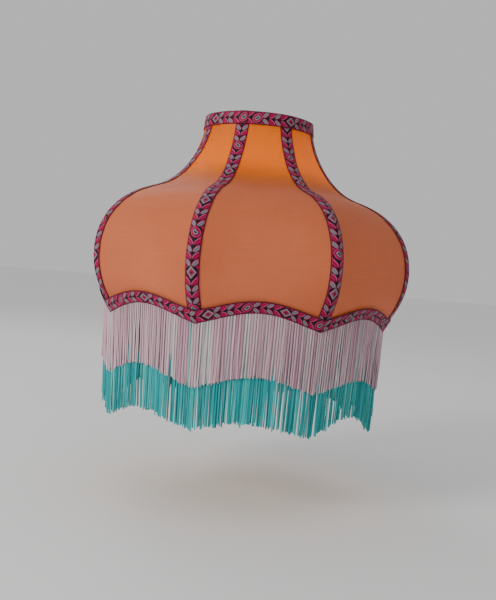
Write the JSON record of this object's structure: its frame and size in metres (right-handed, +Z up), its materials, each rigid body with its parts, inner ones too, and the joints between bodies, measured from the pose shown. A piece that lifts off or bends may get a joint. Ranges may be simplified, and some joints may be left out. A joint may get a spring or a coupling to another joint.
{
  "type": "lamp shade",
  "caption": "Crown-shaped fabric lamp shade: bowed wire ribs, silk panels over a lining, ribbon-trimmed seams, scalloped hem, two-tier strand fringe and a tilting ring fitter.",
  "frame": {"origin": "centre of the fitter ring's underside, on the shade's axis, where the ring rests on the lamp", "axes": "+Z up along the shade's axis when the shade hangs level; +X along the tilt axis through the two pivot rivets; the middle of a panel faces -Y"},
  "size_m": [0.3732, 0.3732, 0.3719],
  "materials": {
    "frame_wire": "matte",
    "fitter_brass": "satin",
    "rivet_steel": "satin",
    "lining_cloth": "matte",
    "cover_silk": "satin",
    "woven_ribbon": "satin",
    "pink_fringe": "satin",
    "teal_fringe": "satin"
  },
  "bodies": {
    "fitter": {"fitter_ring": "fitter_brass", "fitter_arm_right": "fitter_brass", "fitter_arm_left": "fitter_brass"},
    "shade": {"rib_1": "frame_wire", "bottom_wire_1": "frame_wire", "cover_panel_1": "cover_silk", "lining_panel_1": "lining_cloth", "rib_ribbon_1": "woven_ribbon", "rib_2": "frame_wire", "bottom_wire_2": "frame_wire", "cover_panel_2": "cover_silk", "lining_panel_2": "lining_cloth", "rib_ribbon_2": "woven_ribbon", "rib_3": "frame_wire", "bottom_wire_3": "frame_wire", "cover_panel_3": "cover_silk", "lining_panel_3": "lining_cloth", "rib_ribbon_3": "woven_ribbon", "rib_4": "frame_wire", "bottom_wire_4": "frame_wire", "cover_panel_4": "cover_silk", "lining_panel_4": "lining_cloth", "rib_ribbon_4": "woven_ribbon", "rib_5": "frame_wire", "bottom_wire_5": "frame_wire", "cover_panel_5": "cover_silk", "lining_panel_5": "lining_cloth", "rib_ribbon_5": "woven_ribbon", "rib_6": "frame_wire", "bottom_wire_6": "frame_wire", "cover_panel_6": "cover_silk", "lining_panel_6": "lining_cloth", "rib_ribbon_6": "woven_ribbon", "rib_7": "frame_wire", "bottom_wire_7": "frame_wire", "cover_panel_7": "cover_silk", "lining_panel_7": "lining_cloth", "rib_ribbon_7": "woven_ribbon", "rib_8": "frame_wire", "bottom_wire_8": "frame_wire", "cover_panel_8": "cover_silk", "lining_panel_8": "lining_cloth", "rib_ribbon_8": "woven_ribbon", "top_ring": "frame_wire", "shoulder_ring": "frame_wire", "top_ribbon": "woven_ribbon", "bottom_ribbon": "woven_ribbon", "teal_fringe_heading": "teal_fringe", "teal_fringe": "teal_fringe", "pink_fringe_heading": "pink_fringe", "pink_fringe": "pink_fringe", "hanger_right": "fitter_brass", "hanger_left": "fitter_brass", "pivot_rivet_right": "rivet_steel", "pivot_rivet_left": "rivet_steel"}
  },
  "joints": [
    {"name": "shade_tilt", "type": "hinge", "parent": "fitter", "child": "shade", "pos_m": [0, 0, 0.032], "axis": [1, 0, 0], "range_deg": [-25, 25]}
  ]
}
